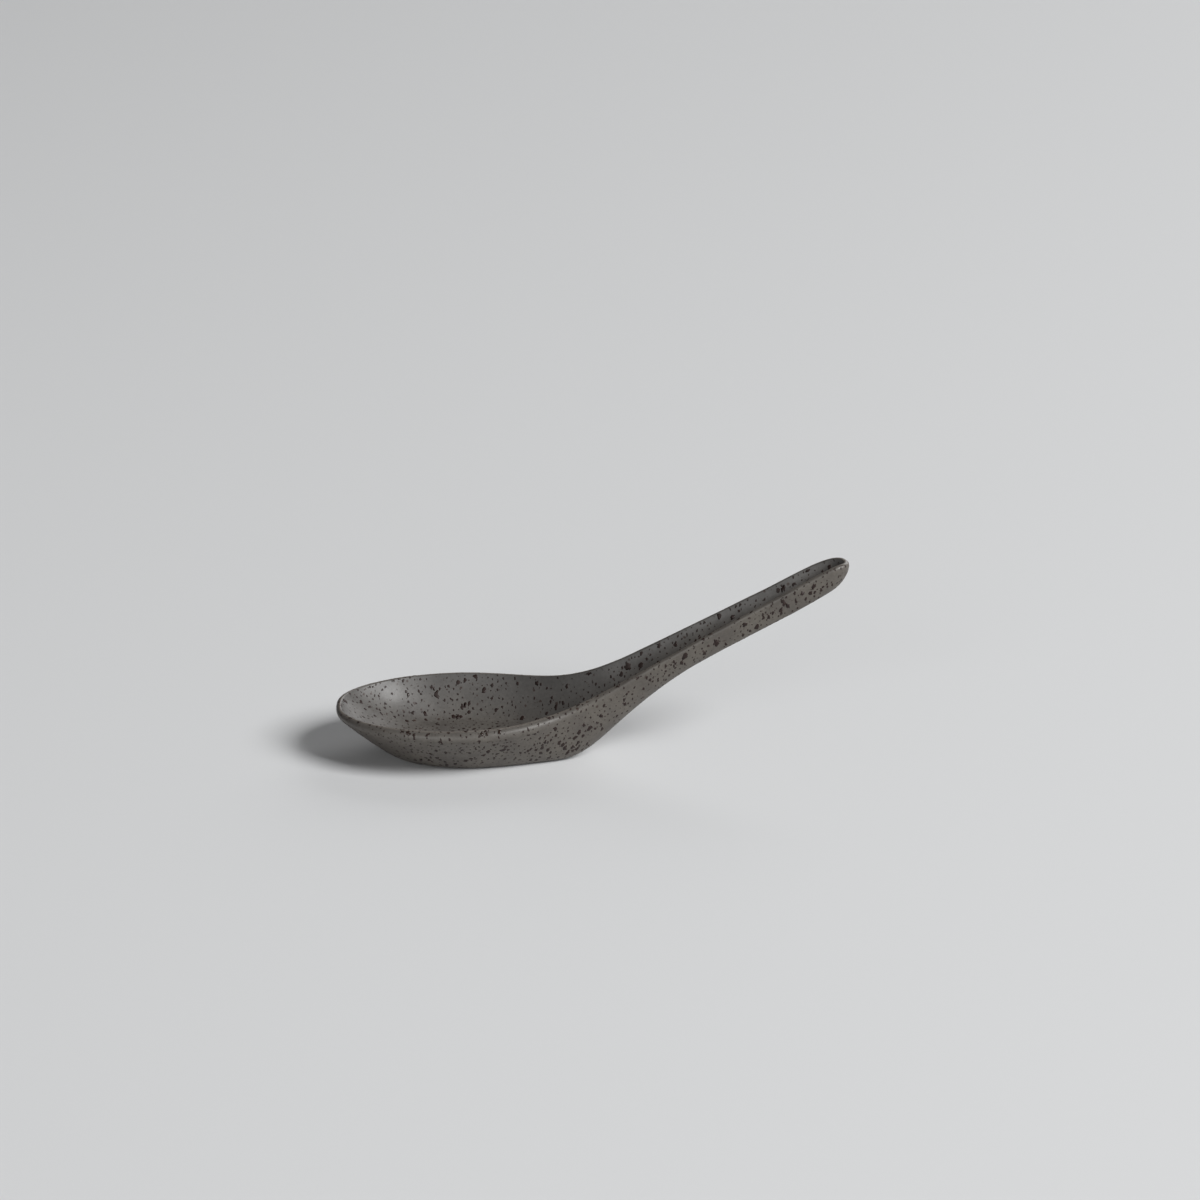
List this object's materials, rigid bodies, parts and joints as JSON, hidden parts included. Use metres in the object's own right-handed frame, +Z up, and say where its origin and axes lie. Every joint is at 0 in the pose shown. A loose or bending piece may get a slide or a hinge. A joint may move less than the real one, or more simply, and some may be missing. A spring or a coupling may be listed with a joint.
{
  "type": "soup spoon",
  "caption": "Flat-bottomed stoneware soup spoon with an egg-shaped bowl, a rising open channel handle, a speckled satin glaze and a bare foot.",
  "frame": {"origin": "middle of the unglazed foot, on the surface that the spoon rests on", "axes": "+X from the bowl towards the handle, +Y across the spoon, +Z up from the table"},
  "size_m": [0.1394, 0.0472, 0.055],
  "materials": {
    "stoneware": "bare fired clay, dry and matt",
    "glaze": "satin dark warm grey glaze",
    "iron_spots": "dark brown iron melted into the glaze, satin"
  },
  "bodies": {
    "root": {"stoneware_body": "stoneware", "glaze_coat": "glaze", "iron_speckles": "iron_spots"}
  },
  "joints": []
}
